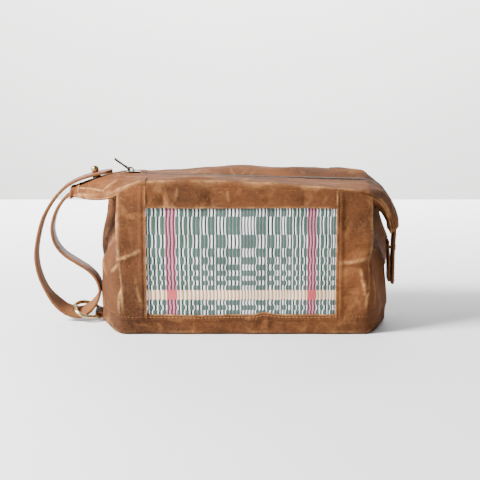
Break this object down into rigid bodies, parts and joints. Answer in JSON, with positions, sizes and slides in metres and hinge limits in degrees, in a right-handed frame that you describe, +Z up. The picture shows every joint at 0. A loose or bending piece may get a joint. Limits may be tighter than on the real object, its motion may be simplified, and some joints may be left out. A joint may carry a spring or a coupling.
{
  "type": "shaving kit bag",
  "caption": "Boxy waxed canvas wash bag with a handwoven striped front panel, a top zip with folded wing ends, and a leather wrist strap on a brass ring.",
  "frame": {"origin": "middle of the resting face of the base", "axes": "+X along the length to the end with the hanging tab, +Y to the back (the woven panel faces -Y), +Z up"},
  "size_m": [0.32, 0.1, 0.144],
  "materials": {
    "waxed_canvas": "waxed, matte with soft sheen on folds",
    "handwoven": "handwoven cotton, matte",
    "strap_leather": "vegetable tanned, satin grain, raw fibrous edge",
    "zip_tape": "woven tape, matte",
    "dark_brass": "dark antique plating",
    "antique_brass": "antique brass, rubbed highlights"
  },
  "bodies": {
    "bag": {"base_panel": "waxed_canvas", "bottom_band": "waxed_canvas", "front_top_strip": "waxed_canvas", "back_panel": "waxed_canvas", "left_side_panel": "waxed_canvas", "right_side_panel": "waxed_canvas", "left_wing_front": "waxed_canvas", "left_wing_back": "waxed_canvas", "left_wing_end": "waxed_canvas", "right_wing_front": "waxed_canvas", "right_wing_back": "waxed_canvas", "textile_panel": "handwoven", "zip_tape_front_left": "zip_tape", "zip_tape_front_right": "zip_tape", "zip_teeth_front_left": "dark_brass", "zip_teeth_front_right": "dark_brass", "top_stop_front": "dark_brass", "zip_tape_back_left": "zip_tape", "zip_tape_back_right": "zip_tape", "zip_teeth_back_left": "dark_brass", "zip_teeth_back_right": "dark_brass", "top_stop_back": "dark_brass", "wrist_strap": "strap_leather", "ring_tab": "strap_leather", "strap_stud": "antique_brass", "stud_screw": "antique_brass"},
    "front_half": {"front_flap": "waxed_canvas", "zip_tape_front_mid": "zip_tape", "zip_teeth_front_mid": "dark_brass"},
    "hanging_end": {"hanging_wing_front": "waxed_canvas", "zip_tape_front_end": "zip_tape", "zip_teeth_front_end": "dark_brass", "hanging_wing_back": "waxed_canvas", "zip_tape_back_end": "zip_tape", "zip_teeth_back_end": "dark_brass", "bottom_stop": "dark_brass", "end_tab_outer": "strap_leather", "end_tab_inner": "strap_leather", "end_tab_rivet": "antique_brass"},
    "back_half": {"back_flap": "waxed_canvas", "zip_tape_back_mid": "zip_tape", "zip_teeth_back_mid": "dark_brass"},
    "slider": {"slider_body": "dark_brass"},
    "pull": {"pull_tab": "dark_brass"},
    "swing_ring": {"ring": "antique_brass"}
  },
  "joints": [
    {"name": "zip_slider", "type": "slide", "parent": "bag", "child": "slider", "axis": [0.9997, 0, -0.0256], "range_m": [0, 0.184]},
    {"name": "zip_pull", "type": "hinge", "parent": "slider", "child": "pull", "pos_m": [-0.1003, 0, 0.13453], "axis": [0, 1, 0], "range_deg": [-22, 100]},
    {"name": "mouth_front", "type": "hinge", "parent": "bag", "child": "front_half", "pos_m": [0, -0.0502, 0.12472], "axis": [0.9997, 0, -0.0256], "range_deg": [0, 100]},
    {"name": "mouth_back", "type": "hinge", "parent": "bag", "child": "back_half", "pos_m": [0, 0.0502, 0.12472], "axis": [0.9997, 0, -0.0256], "range_deg": [-100, 0]},
    {"name": "end_tab_lift", "type": "hinge", "parent": "bag", "child": "hanging_end", "pos_m": [0.1042, 0, 0.1279], "axis": [0, -1, 0], "range_deg": [0, 70]},
    {"name": "ring_swing", "type": "hinge", "parent": "bag", "child": "swing_ring", "pos_m": [-0.1282, 0, 0.0068], "axis": [0, 0.9478, 0.319], "range_deg": [-4.5, 0]}
  ],
  "couplings": [
    {"joint": "mouth_back", "follows": "mouth_front", "ratio": -1}
  ]
}
